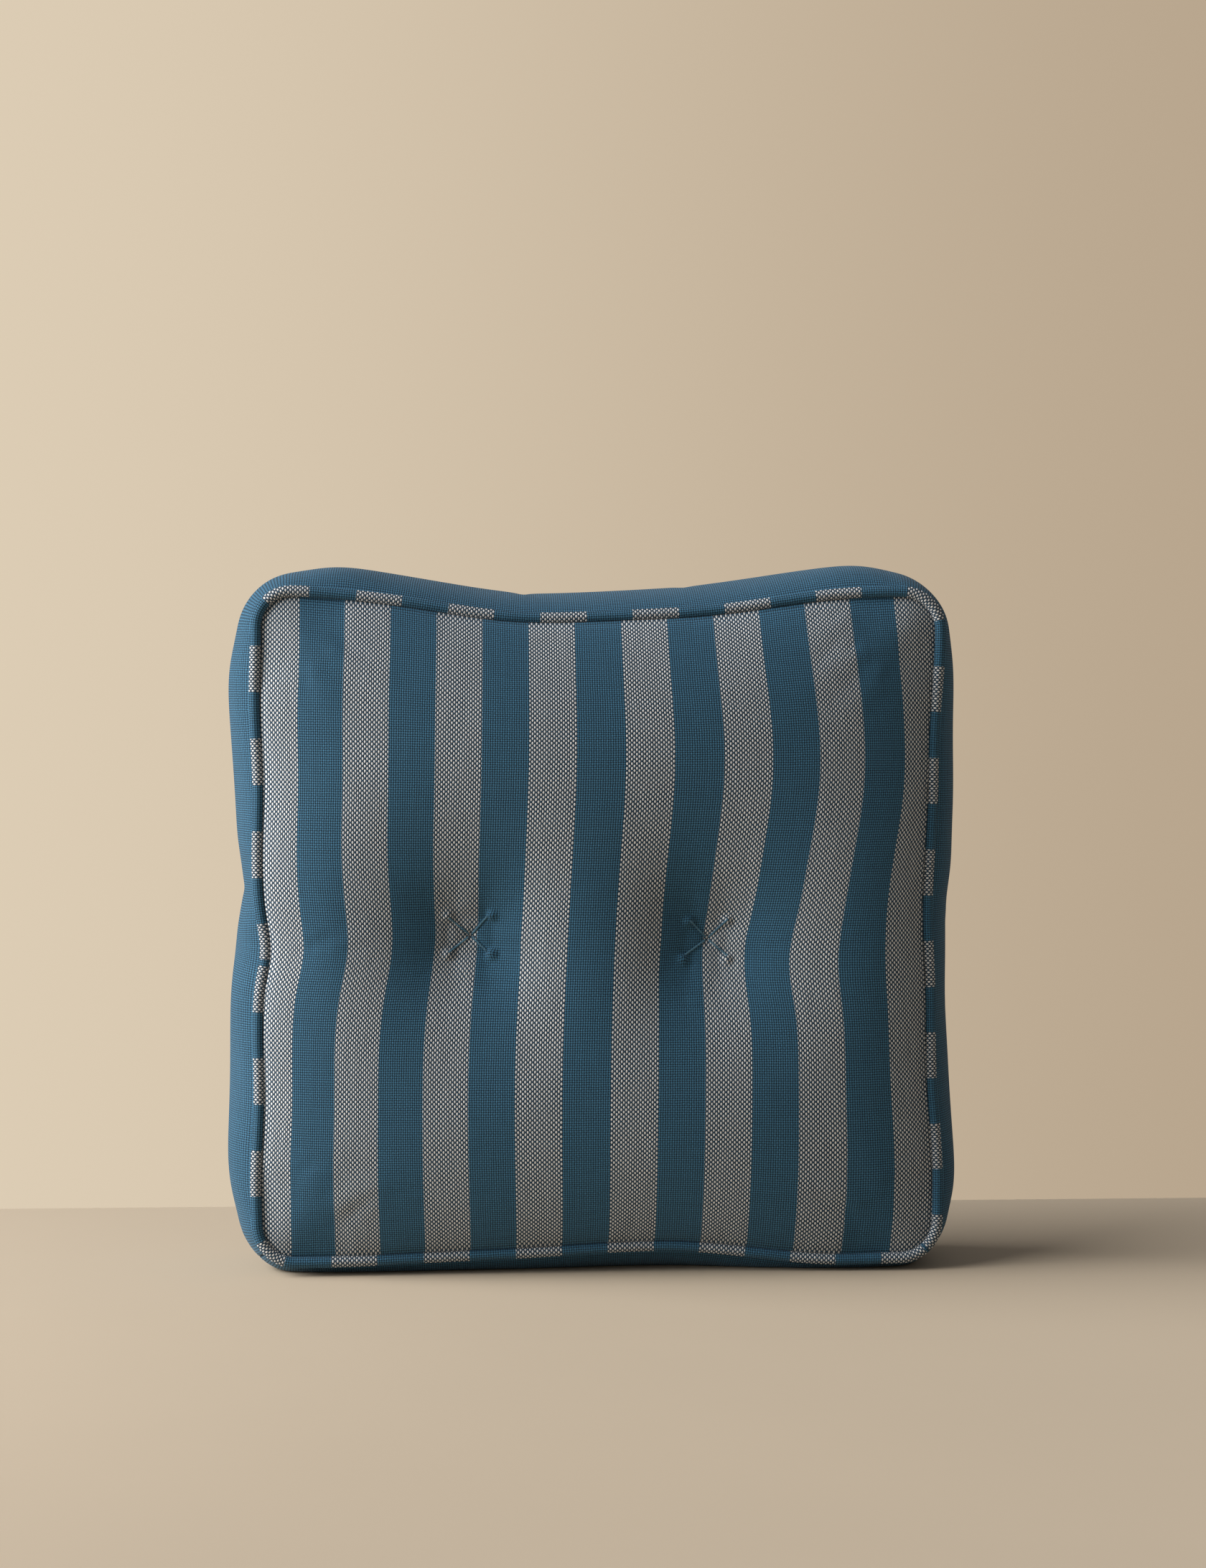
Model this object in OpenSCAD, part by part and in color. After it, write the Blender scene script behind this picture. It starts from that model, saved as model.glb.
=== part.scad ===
// Floor cushion: a boxed, corded and tufted cover over a stuffed insert.
// It stands on its zipped side. X is its width, Y its depth with the front
// face towards -Y, and Z is up. The origin is on the floor, under its middle.
// All lengths are in millimetres.

/* [Cushion] */
// Width between the middles of the left and right welts
seam_width = 610; // [560:2:640]
// Height between the middles of the bottom and top welts
seam_height = 594; // [560:2:640]
// Depth between the middles of the front and back welts
seam_depth = 121; // [114:1:130]
// Height of the lowest welt above the floor
seam_lift = 14.5; // [14:0.5:18]
// Radius of the four corners, along the welts
corner_radius = 34; // [32:1:60]

/* [Stuffing] */
// How far each face swells out past its welt
crown = 46; // [40:1:60]
// How far the boxing swells out past its welts
bulge = 21; // [14:0.5:23]
// How far the left and right sides are drawn in at the middle
side_draw = 9; // [0:1:14]
// How far the top is drawn in at the middle
top_draw = 23; // [0:1:25]
// How far the bottom welts are drawn up at the middle
foot_draw = 8; // [0:1:10]

/* [Cloth] */
// Thickness of the woven cover cloth
cloth = 1.2; // [1:0.1:1.4]
// Thickness of the insert's casing
casing = 0.6; // [0.4:0.1:0.7]
// Diameter of a finished welt
welt_diameter = 9.2; // [8.4:0.1:9.4]
// Diameter of the cotton cord in a welt
cord_diameter = 6.2; // [5.4:0.1:6.4]

/* [Tufts] */
// Distance between the two tufts
tuft_spacing = 207; // [190:1:220]
// Depth at which a tuft holds the face, from the cushion's middle
tuft_level = 62; // [58:1:66]
// Half the width of a tuft's four-legged stitch
stitch_reach = 18; // [15:0.5:20]
// Diameter of the doubled twine in a stitch
twine = 1.8; // [1.4:0.1:2]
// Diameter of the tie that joins a front and a back stitch
tie_diameter = 4; // [3:0.1:4.2]

/* [Zip] */
// Length of the rows of teeth
zip_length = 486; // [440:2:488]
// Width of one tape
tape_width = 14; // [12:0.5:15]
// Distance from one tooth to the next
tooth_pitch = 2.5; // [2.5:0.5:3]
// Length of the pull tab, from its hinge
pull_length = 24; // [20:1:28]

/* [Hidden] */

blue = [0.13, 0.33, 0.45];
striped = [0.45, 0.52, 0.56];
casing_white = [0.90, 0.88, 0.84];
cotton = [0.86, 0.82, 0.74];
fibre = [0.94, 0.94, 0.93];
zip_blue = [0.10, 0.24, 0.33];
nickel = [0.72, 0.72, 0.70];

half_w = seam_width / 2;
half_h = seam_height / 2;
half_d = seam_depth / 2;
middle_z = seam_lift + half_h;
welt_r = welt_diameter / 2;
tuft_x = tuft_spacing / 2;

// ---- The outline of the welts, seen from the front ----
// Each point is [x, height above the middle, outward x, outward height, share of the foot].
// The four sides are numbered from the right: 0 right, 1 top, 2 left, 3 foot.
side_steps = 8;
corner_steps = 4;
side_angles = [0, 90, 180, 270];
side_draws = [side_draw, top_draw, side_draw, foot_draw];
foot = 3;
function smooth(t) = let (c = min(max(t, 0), 1)) c * c * (3 - 2 * c);
function draw_shape(t) = pow(1 - t * t, 2);
function turned(p, a) = [p[0] * cos(a) - p[1] * sin(a), p[0] * sin(a) + p[1] * cos(a)];
function reach(q) = q % 2 == 0 ? half_w : half_h;
function side_point(q, t) = turned(
    [reach(q) - side_draws[q] * draw_shape(t), t * (reach(q + 1) - corner_radius)], side_angles[q]);
function corner_point(q, a) = turned(
    [reach(q) - corner_radius + corner_radius * cos(a),
     reach(q + 1) - corner_radius + corner_radius * sin(a)], side_angles[q]);
function foot_share(q, a) = q == foot ? 1 - smooth(a / 45) : q == foot - 1 ? smooth((a - 45) / 45) : 0;
outline = [for (q = [0 : 3]) each concat(
    [for (k = [0 : side_steps - 1]) let (t = -1 + 2 * k / side_steps)
        concat(side_point(q, t), turned([1, 0], side_angles[q]), [q == foot ? 1 : 0])],
    [for (k = [0 : corner_steps - 1]) let (a = 90 * k / corner_steps)
        concat(corner_point(q, a), turned([cos(a), sin(a)], side_angles[q]), [foot_share(q, a)])])];
rim = len(outline);
function inset(i, d) = [outline[i][0] - d * outline[i][2], outline[i][1] - d * outline[i][3]];

// The boxing's two joining seams are half way round the bottom corners.
left_join = foot * (side_steps + corner_steps) - corner_steps / 2;
right_join = rim - corner_steps / 2;

// ---- The faces ----
// A layer of the cushion is [how far its rim lies in from the welts' middle, how far its face lies
// in, how far its face swells, how far its sides swell, its gap to the floor].
welt_gap = welt_r + 0.6;
panel_outer = [welt_gap, 0, crown, 0, 0];
panel_inner = [welt_gap + 0.2, cloth, crown, 0, 0];
casing_in = 8;
casing_gap = 2.7;
casing_swell = crown + casing_in - casing_gap;
casing_bulge = bulge + casing_in - casing_gap - 1;
casing_lift = 2.6;
casing_outer = [casing_in, casing_in, casing_swell, casing_bulge, casing_lift];
casing_inner = casing_outer + [casing, casing, 0, 0, casing];
fill_gap = 0.4;
fill_outer = casing_inner + [fill_gap, fill_gap, 0, 0, fill_gap];

// A face is made of rings, from its rim at 1 to its middle at 0. One ring runs through the tufts,
// which sit half way between the top and bottom seams.
tuft_ring = tuft_x / (half_w - side_draw - welt_gap);
tuft_drop = (top_draw - foot_draw) / 2 * draw_shape(tuft_x / (half_w - corner_radius));
tuft_z = middle_z - tuft_drop;
face_rings = [1, 0.975, 0.93, 0.85, 0.73, 0.6, 0.49, 0.41, tuft_ring, 0.29, 0.2, 0.1];
inner_rings = [1, 0.93, 0.82, 0.65, 0.5, 0.41, tuft_ring, 0.29, 0.15];

// The face swells steeply at its rim. It dips widely round the tufts, in a valley between them,
// and sharply at each tuft.
crown_power = 2.6;
crown_shape = 0.62;
wide_dip = 18;
wide_dip_r = 80;
valley_dip = 8;
valley_r = 34;
sharp_dip_r = 22;
rim_share = 5;
function swell(k) = pow(1 - pow(k, crown_power), crown_shape);
function dist(x, h, tx) = sqrt(pow(x - tx, 2) + h * h);
function wide(x, h) = wide_dip * (exp(-pow(dist(x, h, tuft_x) / wide_dip_r, 2))
    + exp(-pow(dist(x, h, -tuft_x) / wide_dip_r, 2)))
    + valley_dip * exp(-pow(h / valley_r, 2)) * (1 - smooth(abs(x) / tuft_x));
sharp_dip = half_d + crown * swell(tuft_ring) - wide(tuft_x, 0) - tuft_level;
function sharp(x, h) = sharp_dip * exp(-min(dist(x, h, tuft_x), dist(x, h, -tuft_x)) / sharp_dip_r);
function dips(x, h) = wide(x, h) + sharp(x, h);
function face_y(l, x, h, k) = half_d - l[1] + l[2] * swell(k) - dips(x, h) * smooth((1 - k) * rim_share);
function dropped(h, k) = h * k - tuft_drop * min(1, (1 - k) / (1 - tuft_ring));
function face_ring(l, k, front) = [for (i = [0 : rim - 1])
    let (p = inset(i, l[0]), x = p[0] * k, h = dropped(p[1], k))
    [x, front * face_y(l, x, h + tuft_drop, k), middle_z + h]];
function face_points(l, rings, front) = concat(
    [for (k = rings) each face_ring(l, k, front)],
    [[0, front * face_y(l, 0, 0, 0), tuft_z]]);

// Triangles between two rings of n points that start at a and b, and a fan onto a single point c.
function band(a, b, n, flip) = [for (i = [0 : n - 1]) let (j = (i + 1) % n) each flip
    ? [[a + i, b + j, a + j], [a + i, b + i, b + j]]
    : [[a + i, a + j, b + j], [a + i, b + j, b + i]]];
function fan(a, c, n, flip) = [for (i = [0 : n - 1]) let (j = (i + 1) % n)
    flip ? [a + i, c, a + j] : [a + i, a + j, c]];
function cap(first, rings, n, flip) = concat(
    [for (r = [0 : rings - 2]) each band(first + r * n, first + (r + 1) * n, n, flip)],
    fan(first + (rings - 1) * n, first + rings * n, n, flip));

// A sheet of cloth: an outer and an inner skin of rings that close on a point, and the cut edge
// between them, with a hole for each tuft's tie.
module ringed_sheet(outside, inside, rings, front) {
    flip = front < 0;
    difference() {
        polyhedron(concat(outside, inside), concat(
            cap(0, rings, rim, !flip),
            cap(len(outside), rings, rim, flip),
            band(0, len(outside), rim, flip)));
        tuft_bores();
    }
}

module panel(front) {
    color(striped) ringed_sheet(
        face_points(panel_outer, face_rings, front),
        face_points(panel_inner, face_rings, front),
        len(face_rings), front);
}

// ---- The boxing ----
// It swells out between the welts. Along the foot it is pressed flat on the floor.
foot_bulge = 30;
function side_swell(s, bulging, share) =
    bulging * pow(max(1 - s * s, 0), 0.8) * (1 - share)
    + (foot_bulge + bulging - bulge) * pow(max(1 - pow(s, 4), 0), 0.8) * share;
// i is the point's place round the outline, y its depth, out how far out of the outline it is
// before it swells, and low the height that it can't go below.
function boxing_point(i, y, out, bulging, low) =
    let (o = outline[i], b = out + side_swell(y / half_d, bulging, o[4]))
    [o[0] + o[2] * b, y, max(middle_z + o[1] + o[3] * b, low)];

// A sheet from a grid of outer and inner points, m rows of n points each.
module grid_sheet(outside, inside, m, n) {
    total = m * n;
    function quad(a, b, c, d) = [[a, b, c], [a, c, d]];
    polyhedron(concat(outside, inside), concat(
        [for (r = [0 : m - 2]) for (k = [0 : n - 2]) let (a = r * n + k)
            each quad(a, a + n, a + n + 1, a + 1)],
        [for (r = [0 : m - 2]) for (k = [0 : n - 2]) let (a = total + r * n + k)
            each quad(a, a + 1, a + n + 1, a + n)],
        [for (k = [0 : n - 2]) each quad(k, k + 1, total + k + 1, total + k)],
        [for (k = [0 : n - 2]) let (a = (m - 1) * n + k) each quad(a + 1, a, total + a, total + a + 1)],
        [for (r = [0 : m - 2]) let (a = r * n) each quad(a + n, a, total + a, total + a + n)],
        [for (r = [0 : m - 2]) let (a = r * n + n - 1) each quad(a, a + n, total + a + n, total + a)]));
}

// The strip over the two sides and the top, from one bottom corner round to the other.
boxing_edge = half_d - welt_gap;
boxing_out = -1;
boxing_depths = [-boxing_edge, -46, -30, -12, 12, 30, 46, boxing_edge];
strip_count = rim - (right_join - left_join) + 1;
function strip_row(y, out, low) =
    [for (k = [0 : strip_count - 1]) boxing_point((right_join + k) % rim, y, out, bulge, low)];
module boxing_strip() {
    color(blue) grid_sheet(
        [for (y = boxing_depths) each strip_row(y, boxing_out, 0)],
        [for (y = boxing_depths) each strip_row(y, boxing_out - cloth, cloth)],
        len(boxing_depths), strip_count);
}

// The strip under the foot is in two halves, with a shallow groove between them that keeps the zip
// off the floor. side is -1 for the front half and 1 for the back half.
groove_half = 6.8;
groove_start = 16;
groove_height = 3.4;
fold_height = 6.6;
fold_start = 14;
fold_end = 18;
zip_half = zip_length / 2;
groove_end = half_w - corner_radius;
groove_closed = groove_end + corner_radius * sin(90 / corner_steps);
join_gap = 0.3;
foot_depths = [boxing_edge, 50, 44, 36, 26, 18, 14, groove_half];
foot_count = right_join - left_join + 1;
function groove_share(x) = 1 - smooth((abs(x) - groove_end) / (groove_closed - groove_end));
function edge_y(x) = groove_half * groove_share(x) + join_gap * (1 - groove_share(x));
function foot_point(i, y, inner) =
    let (p = boxing_point(i, y, boxing_out - (inner ? cloth : 0), bulge, inner ? cloth : 0),
         g = groove_share(p[0]),
         rise = groove_height * smooth((groove_start - y) / (groove_start - groove_half)) * g,
         fold = (fold_height - cloth) * smooth((fold_end - y) / (fold_end - fold_start)) * g)
    [p[0], y <= groove_half ? edge_y(p[0]) : y, p[2] + (inner ? fold : rise)];
function foot_row(y, inner, side) = [for (k = [0 : foot_count - 1])
    let (p = foot_point(left_join + k, y, inner)) [p[0], side * p[1], p[2]]];
module zip_strip(side) {
    last = len(foot_depths) - 1;
    rows = [for (k = [0 : last]) foot_depths[side < 0 ? k : last - k]];
    color(blue) grid_sheet(
        [for (y = rows) each foot_row(y, false, side)],
        [for (y = rows) each foot_row(y, true, side)],
        len(rows), foot_count);
}

// ---- The welts ----
// A closed ring swept round the outline. profile is a list of [outwards, forwards] from the welt's middle.
module swept(profile, front) {
    n = len(profile);
    points = [for (i = [0 : rim - 1]) for (p = profile)
        [outline[i][0] + outline[i][2] * p[0],
         front * (half_d + p[1]),
         middle_z + outline[i][1] + outline[i][3] * p[0]]];
    function ring(i, k) = (i % rim) * n + k % n;
    polyhedron(points, [for (i = [0 : rim - 1]) for (k = [0 : n - 1]) each front < 0
        ? [[ring(i, k), ring(i, k + 1), ring(i + 1, k + 1)], [ring(i, k), ring(i + 1, k + 1), ring(i + 1, k)]]
        : [[ring(i, k), ring(i + 1, k + 1), ring(i, k + 1)], [ring(i, k), ring(i + 1, k), ring(i + 1, k + 1)]]]);
}

// The cover is a strip wrapped round the cord, with two leaves that run back into the seam.
leaf_length = 4;
leaf_half = 1.3;
slit_half = 0.15;
leaf_angle = 225;
cover_sides = 8;
cord_gap = 0.15;
cord_sides = 8;
cord_play = 0.2;
function arc(r, first, last, n) = [for (k = [0 : n]) let (a = first + (last - first) * k / n) [r * cos(a), r * sin(a)]];
function leaf_end(across) = turned([welt_r + leaf_length, across], leaf_angle);
outer_open = asin(leaf_half / welt_r);
inner_r = cord_diameter / 2 + cord_gap;
inner_open = asin(slit_half / inner_r);
cover_profile = concat(
    arc(welt_r, leaf_angle + outer_open - 360, leaf_angle - outer_open, cover_sides),
    [leaf_end(-leaf_half), leaf_end(-slit_half)],
    arc(inner_r, leaf_angle - inner_open, leaf_angle + inner_open - 360, cover_sides),
    [leaf_end(slit_half), leaf_end(leaf_half)]);
cord_profile = arc(cord_diameter / 2 - cord_play, 0, 360 - 360 / cord_sides, cord_sides - 1);

module welt_cover(front) {
    color(striped) swept(cover_profile, front);
}

module welt_cord(front) {
    color(cotton) swept(cord_profile, front);
}

// ---- The insert ----
// Its sides follow the boxing from the inside, and leave room over the zip.
insert_depths = [-40, -24, -17, 0, 17, 24, 40];
insert_middle = 3;
zip_room = 7.6;
zip_room_start = 24;
zip_room_full = 17;
function insert_ring(l, y) = [for (i = [0 : rim - 1]) let (p = boxing_point(i, y, -l[0], l[3], l[4]))
    [p[0], p[1], p[2] + zip_room * outline[i][4]
        * smooth((zip_room_start - abs(y)) / (zip_room_start - zip_room_full))]];

// One half of the casing: a face and its share of the sides, as far as the seam round the middle.
module casing_half(front) {
    depths = [for (k = [0 : insert_middle]) insert_depths[insert_middle + front * k]];
    function skin(l) = concat(
        [for (y = depths) each insert_ring(l, y)],
        face_points(l, inner_rings, front));
    color(casing_white) ringed_sheet(
        skin(casing_outer), skin(casing_inner), len(depths) + len(inner_rings), front);
}

module fill() {
    n = len(inner_rings);
    front = face_points(fill_outer, inner_rings, -1);
    sides = [for (y = insert_depths) each insert_ring(fill_outer, y)];
    back = face_points(fill_outer, inner_rings, 1);
    first_side = len(front);
    middle = first_side + insert_middle * rim;
    back_rim = first_side + len(sides);
    color(fibre) difference() {
        polyhedron(concat(front, sides, back), concat(
            cap(0, n, rim, true),
            band(first_side, 0, rim, true),
            [for (a = [first_side : rim : middle - rim]) each band(a + rim, a, rim, true)],
            [for (a = [middle : rim : back_rim - rim]) each band(a, a + rim, rim, false)],
            cap(back_rim, n, rim, false)));
        tuft_bores();
    }
}

// ---- The tufts ----
// A tie runs through the cushion, and a four-legged stitch on each face draws it in.
tie_gap = 0.3;
knot_r = 2.6;
knot_rise = 2.9;
knot_level = tuft_level + knot_rise;
tie_half = knot_level - knot_r - 0.2;
bore_length = 2 * half_d + 4 * crown;
leg_rise = 2.6;
leg_level = face_y(panel_outer, tuft_x + stitch_reach, stitch_reach, tuft_ring) + leg_rise;
module at_tuft(x) {
    translate([x, 0, tuft_z]) rotate([90, 0, 0]) children();
}
module tuft_bores() {
    for (x = [-tuft_x, tuft_x]) at_tuft(x)
        cylinder(h = bore_length, d = tie_diameter + 2 * tie_gap, center = true, $fn = 48);
}
module tuft_tie(x) {
    color(blue) at_tuft(x) cylinder(h = 2 * tie_half, d = tie_diameter, center = true, $fn = 48);
}
// A straight run of twine from a to b.
twine_sides = 12;
module run(a, b) {
    hull() for (end = [a, b]) translate(end) sphere(d = twine, $fn = twine_sides);
}
module tuft_stitch(x, front) {
    knot = [0, front * knot_level, 0];
    color(blue) translate([x, 0, tuft_z]) {
        translate(knot) sphere(r = knot_r, $fn = twine_sides);
        for (sx = [-1, 1]) for (sz = [-1, 1])
            run(knot, [sx * stitch_reach, front * leg_level, sz * stitch_reach]);
    }
}

// ---- The zip ----
// From the floor up: the slider's bail, its outer plate, the teeth, the tapes and its inner plate.
bail_z = 0.4;
bail_t = 0.8;
hinge_z = 2.1;
plate_z = 3;
plate_t = 1.1;
teeth_z = 4.4;
teeth_t = 2.2;
tape_z = teeth_z + teeth_t;
tape_t = 0.6;
tape_y = 1;
tape_overhang = 15;
inner_plate_z = 7.5;
teeth_in = 0.8;
teeth_out = 3.2;
tooth_w = 1.3;
tooth_root = 1.2;
module zip_tape(side) {
    long = zip_length + 2 * tape_overhang;
    color(zip_blue) translate([-long / 2, side < 0 ? -tape_width - tape_y : tape_y, tape_z])
        cube([long, tape_width, tape_t]);
}
// One row of teeth on its spine. The two rows are half a pitch out of step.
module zip_teeth(side) {
    n = floor(zip_length / tooth_pitch);
    start = (side < 0 ? -n : 1 - n) * tooth_pitch / 2;
    spine = teeth_out - tooth_root;
    comb = concat(
        [[start, teeth_out]],
        [for (k = [0 : n - 1]) let (x = start + k * tooth_pitch) each
            [[x, spine], [x, teeth_in], [x + tooth_w, teeth_in], [x + tooth_w, spine]]],
        [[start + (n - 1) * tooth_pitch + tooth_w, teeth_out]]);
    color(zip_blue) translate([0, 0, teeth_z]) linear_extrude(teeth_t)
        polygon([for (p = comb) [p[0], side * p[1]]]);
}
stop_x = zip_half + 3;
stop_length = 3;
stop_wrap = 0.2;
module stop(x, y, width) {
    translate([x - stop_length / 2, y - width / 2, teeth_z - stop_wrap])
        cube([stop_length, width, teeth_t + stop_wrap]);
}
module zip_open_end_stop() {
    color(nickel) stop(-stop_x, 0, 2 * teeth_out + 2 * stop_wrap);
}
module zip_closed_end_stops() {
    color(nickel) for (side = [-1, 1]) stop(stop_x, side * (teeth_in + teeth_out) / 2, teeth_out - teeth_in);
}

slider_x = zip_half - 8;
slider_length = 9;
slider_half_w = 5;
flange_in = 3.7;
flange_gap = 0.3;
post_w = 1.1;
post_length = 2.4;
bail_half = 3.5;
bail_w = 1.6;
bail_leg = 0.9;
module slider_block(x, y, z, size) {
    translate([slider_x + x, y, z]) cube(size);
}
module zip_slider() {
    back = -slider_length / 2;
    flange_w = slider_half_w - flange_in;
    color(nickel) union() {
        for (z = [plate_z, inner_plate_z])
            slider_block(back, -slider_half_w, z, [slider_length, 2 * slider_half_w, plate_t]);
        for (y = [-slider_half_w, flange_in])
            slider_block(back, y, plate_z, [slider_length, flange_w, tape_z - flange_gap - plate_z]);
        slider_block(-back - post_length, -post_w / 2, plate_z,
            [post_length, post_w, inner_plate_z + plate_t - plate_z]);
        slider_block(-bail_half - bail_leg / 2, -bail_w / 2, bail_z, [2 * bail_half + bail_leg, bail_w, bail_t]);
        for (x = [-bail_half, bail_half])
            slider_block(x - bail_leg / 2, -bail_w / 2, bail_z, [bail_leg, bail_w, plate_z - bail_z]);
    }
}

pull_w = 6;
pull_t = 1;
eye_w = 2.6;
eye_length = 4.8;
pull_hole = 3;
pull_hole_x = 4.5;
module zip_pull() {
    color(nickel) translate([slider_x, 0, hinge_z]) {
        rotate([90, 0, 0]) cylinder(h = pull_w, d = pull_t, center = true, $fn = 32);
        difference() {
            translate([-pull_length, -pull_w / 2, -pull_t / 2]) cube([pull_length, pull_w, pull_t]);
            translate([-eye_length, -eye_w / 2, -pull_t]) cube([eye_length, eye_w, 2 * pull_t]);
            translate([pull_hole_x - pull_length, 0, -pull_t]) cylinder(h = 2 * pull_t, d = pull_hole, $fn = 32);
        }
    }
}

panel(-1);  // front_panel
panel(1);  // back_panel
boxing_strip();
zip_strip(-1);  // zip_strip_front
zip_strip(1);  // zip_strip_back
welt_cover(-1);  // front_welt_cover
welt_cord(-1);  // front_welt_cord
welt_cover(1);  // back_welt_cover
welt_cord(1);  // back_welt_cord
casing_half(-1);  // insert_casing_front
casing_half(1);  // insert_casing_back
fill();
tuft_stitch(-tuft_x, -1);  // tuft_left_front_stitch
tuft_stitch(-tuft_x, 1);  // tuft_left_back_stitch
tuft_tie(-tuft_x);  // tuft_left_tie
tuft_stitch(tuft_x, -1);  // tuft_right_front_stitch
tuft_stitch(tuft_x, 1);  // tuft_right_back_stitch
tuft_tie(tuft_x);  // tuft_right_tie
zip_tape(-1);  // zip_tape_front
zip_tape(1);  // zip_tape_back
zip_teeth(-1);  // zip_teeth_front
zip_teeth(1);  // zip_teeth_back
zip_open_end_stop();
zip_closed_end_stops();
zip_slider();
zip_pull();
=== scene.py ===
"""Dresses the floor cushion: a striped, corded and tufted cover over its insert, with a zip below.

The cover is cut as flat pieces, sewn together along its two seams and blown up as cloth. Every
length is in metres. X is the width, the front faces -Y, and Z is up from the floor.
"""
import logging
import math
from collections.abc import Callable, Iterable
from dataclasses import dataclass
from enum import Enum
from itertools import accumulate, pairwise

import bmesh
import bpy
import numpy as np
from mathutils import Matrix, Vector
from mathutils.bvhtree import BVHTree


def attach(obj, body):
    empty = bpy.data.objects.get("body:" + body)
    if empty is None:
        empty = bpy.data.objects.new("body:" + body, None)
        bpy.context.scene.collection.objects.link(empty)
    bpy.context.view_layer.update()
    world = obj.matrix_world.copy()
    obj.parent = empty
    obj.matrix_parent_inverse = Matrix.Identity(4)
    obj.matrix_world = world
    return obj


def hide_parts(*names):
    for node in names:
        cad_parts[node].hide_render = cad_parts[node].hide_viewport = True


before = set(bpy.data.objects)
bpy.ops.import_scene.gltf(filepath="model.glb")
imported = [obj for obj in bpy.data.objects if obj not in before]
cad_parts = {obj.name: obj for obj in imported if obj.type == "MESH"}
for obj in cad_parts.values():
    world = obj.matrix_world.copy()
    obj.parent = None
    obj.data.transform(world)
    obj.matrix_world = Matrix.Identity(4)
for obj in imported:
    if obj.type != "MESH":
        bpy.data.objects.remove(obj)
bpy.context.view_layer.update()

LOG = logging.getLogger("cushion")
BODY = "cushion"
CLOTH_UV = "cloth"
MERGE = 1e-5

Mesh = bmesh.types.BMesh
Piece = bpy.types.Object
Material = bpy.types.Material
Socket = bpy.types.NodeSocket
Point = tuple[float, float]
Triple = tuple[float, float, float]


class Side(Enum):
    """The two faces of the cushion, by the way each one looks along Y."""

    FRONT = -1
    BACK = 1

    @property
    def word(self) -> str:
        """The side's name in lower case."""
        return self.name.lower()


class Patch(Enum):
    """The cut pieces of the cover, by their place in the sewn mesh."""

    FRONT_PANEL = 0
    BACK_PANEL = 1
    BOXING = 2
    ZIP_FRONT = 3
    ZIP_BACK = 4


def smooth(t: float) -> float:
    """A step from 0 to 1 with a soft start and end."""
    c = min(max(t, 0.0), 1.0)
    return c * c * (3 - 2 * c)


def hump(t: float, peak: float) -> float:
    """A hump that is 0 at -1 and 1, and 1 at its peak."""
    c = min(max(t, -1.0), 1.0)
    u = (c - peak) / (1 + peak) if c < peak else (c - peak) / (1 - peak)
    return (1 - u * u) ** 2


def dents(at: float, hollows: Iterable[Triple]) -> float:
    """How deep some soft hollows are at a place. Each one has a middle, a width and a depth."""
    return sum(deep * math.exp(-((at - middle) / wide) ** 2) for middle, wide, deep in hollows)


def lengths_along(points: list[Vector]) -> list[float]:
    """How far along a line each of its points lies."""
    return list(accumulate(((b - a).length for a, b in pairwise(points)), initial=0.0))


def strip(bm: Mesh, columns: int, rows: int) -> dict[bmesh.types.BMVert, tuple[int, float]]:
    """Adds a strip of cells, and gives each point's column and its share of the way across."""
    made = bmesh.ops.create_grid(bm, x_segments=columns, y_segments=rows, size=0.5, calc_uvs=True)
    return {vert: (round((vert.co.x + 0.5) * columns), vert.co.y + 0.5) for vert in made["verts"]}


def relax(bm: Mesh, verts: list[bmesh.types.BMVert], rounds: int) -> None:
    """Moves points towards the middle of their neighbours, a few times over."""
    axes = {"use_axis_x": True, "use_axis_y": True, "use_axis_z": True}
    for _ in range(rounds):
        bmesh.ops.smooth_vert(bm, verts=verts, factor=0.5, **axes)


def place_object(name: str, data: bpy.types.ID) -> Piece:
    """Adds a new object to the scene."""
    piece = bpy.data.objects.new(name, data)
    bpy.context.scene.collection.objects.link(piece)
    return piece


def link(name: str, bm: Mesh, smooth_faces: bool = True) -> Piece:
    """Turns a bmesh into an object at the origin, and frees the bmesh.

    Args:
        name: The name of the piece.
        bm: The finished bmesh, with its place in its points.
        smooth_faces: Whether its faces are shaded smooth.

    Returns:
        The new object.
    """
    for face in bm.faces:
        face.smooth = smooth_faces
    mesh = bpy.data.meshes.new(name)
    bm.to_mesh(mesh)
    bm.free()
    return place_object(name, mesh)


def subdivide(piece: Piece, levels: int = 1) -> None:
    """Adds a subdivision surface of the same level in view and render."""
    surface = piece.modifiers.new("Smooth", "SUBSURF")
    surface.levels = levels
    surface.render_levels = levels


def thicken(piece: Piece, thickness: float) -> None:
    """Gives a sheet its thickness, on the inner side of its faces."""
    solid = piece.modifiers.new("Thickness", "SOLIDIFY")
    solid.thickness = thickness
    solid.offset = -1
    solid.use_even_offset = False


def settle(piece: Piece, nodes: Iterable[str], material: Material) -> None:
    """Dresses a piece, rides it on the cushion and lets it stand for its CAD nodes.

    Args:
        piece: The finished piece.
        nodes: The CAD nodes that it stands for.
        material: Its finish.
    """
    piece.data.materials.clear()
    piece.data.materials.append(material)
    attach(piece, BODY)
    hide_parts(*nodes)
    LOG.info("%s: %d faces, stands for %s", piece.name, len(piece.data.polygons), ", ".join(nodes))


# ---- The shape of the seams ----


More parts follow.
